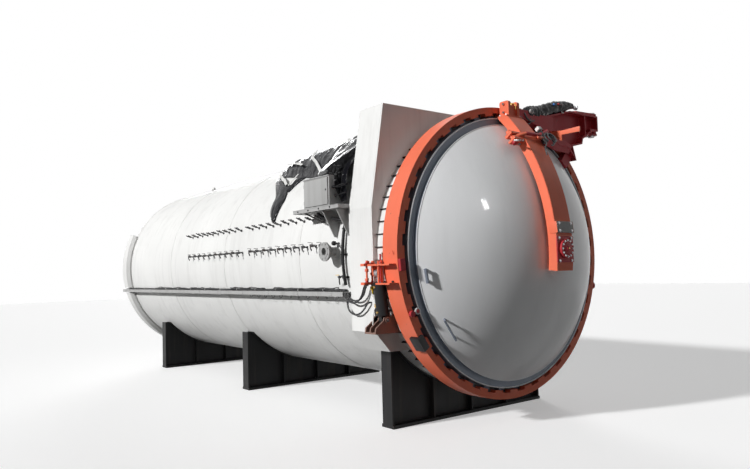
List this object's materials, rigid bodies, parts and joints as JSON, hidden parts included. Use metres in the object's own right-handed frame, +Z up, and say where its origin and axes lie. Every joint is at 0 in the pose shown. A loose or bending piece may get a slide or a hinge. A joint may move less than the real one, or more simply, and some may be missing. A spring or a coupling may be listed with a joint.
{
  "type": "industrial autoclave",
  "caption": "Horizontal cylindrical pressure vessel on saddles with a toothed lock ring, a dished swing door on a jib and side pipework.",
  "frame": {"origin": "on the floor, at the centre of the underside of the front saddle's foot", "axes": "+X along the vessel towards the door, +Y across towards the door hinge, +Z up"},
  "size_m": [11.7608, 4.078, 4.346],
  "materials": {
    "white_paint": "satin white enamel on steel plate",
    "silver_paint": "semi-gloss silver grey enamel",
    "orange_paint": "satin vermilion enamel",
    "red_paint": "satin dark red enamel",
    "grey_paint": "satin light grey enamel",
    "black_paint": "satin black enamel",
    "brown_primer": "matt brown primer",
    "bare_steel": "turned and ground steel",
    "brass": "cast brass with a painted handle",
    "black_rubber": "matt black rubber",
    "black_sheeting": "creased black polythene sheet"
  },
  "bodies": {
    "vessel": {"shell_stave_1": "white_paint", "shell_stave_2": "white_paint", "shell_stave_3": "white_paint", "shell_stave_4": "white_paint", "shell_stave_5": "white_paint", "shell_stave_6": "white_paint", "shell_stave_7": "white_paint", "shell_stave_8": "white_paint", "rear_head": "white_paint", "rear_collar": "white_paint", "vessel_flange": "silver_paint", "door_seal": "black_rubber", "casing_front_plate": "white_paint", "casing_rear_plate": "white_paint", "casing_wrap": "white_paint", "flange_gussets": "black_paint", "front_saddle": "black_paint", "middle_saddle": "black_paint", "rear_saddle": "black_paint", "lifting_lugs": "white_paint", "upper_ports": "bare_steel", "lower_ports": "bare_steel", "cable_duct": "grey_paint", "side_shelf": "grey_paint", "control_cabinet": "grey_paint", "conduit": "black_paint", "side_nozzle": "grey_paint", "shoulder_wrap": "black_sheeting", "interlock_frame": "orange_paint", "bleed_valve": "brass", "drive_bracket": "brown_primer", "hinge_bracket": "red_paint", "hinge_pin": "bare_steel", "cable_upper_a": "black_rubber", "cable_upper_b": "black_rubber", "cable_lower": "black_rubber"},
    "ring": {"lock_ring": "orange_paint", "ring_ear": "orange_paint", "ring_blocks": "red_paint"},
    "drive_barrel": {"drive_barrel": "black_paint"},
    "drive_rod": {"drive_rod": "bare_steel"},
    "door": {"door_flange": "silver_paint", "door_head": "silver_paint", "door_beam": "orange_paint", "beam_lugs": "orange_paint", "door_boss": "red_paint", "jib_arm": "red_paint", "jib_knee": "red_paint", "beam_bracket": "orange_paint", "jib_wrap": "black_sheeting", "door_handles": "bare_steel"}
  },
  "joints": [
    {"name": "ring_turn", "type": "hinge", "parent": "vessel", "child": "ring", "pos_m": [0.7, 0, 2.2], "axis": [-1, 0, 0], "range_deg": [0, 4.5]},
    {"name": "drive_pivot", "type": "hinge", "parent": "vessel", "child": "drive_barrel", "pos_m": [0.48, -1.82998, 1.41024], "axis": [-1, 0, 0], "range_deg": [0, 0.28]},
    {"name": "drive_stroke", "type": "slide", "parent": "drive_barrel", "child": "drive_rod", "axis": [0, -0.1083, 0.9941], "range_m": [0, 0.152]},
    {"name": "door_swing", "type": "hinge", "parent": "vessel", "child": "door", "pos_m": [0.86, 1.955, 2.2], "axis": [0, 0, 1], "range_deg": [0, 100]}
  ],
  "couplings": [
    {"joint": "drive_pivot", "follows": "ring_turn", "ratio": 0.05972},
    {"joint": "drive_stroke", "follows": "ring_turn", "m_per_rad": 1.9042}
  ]
}
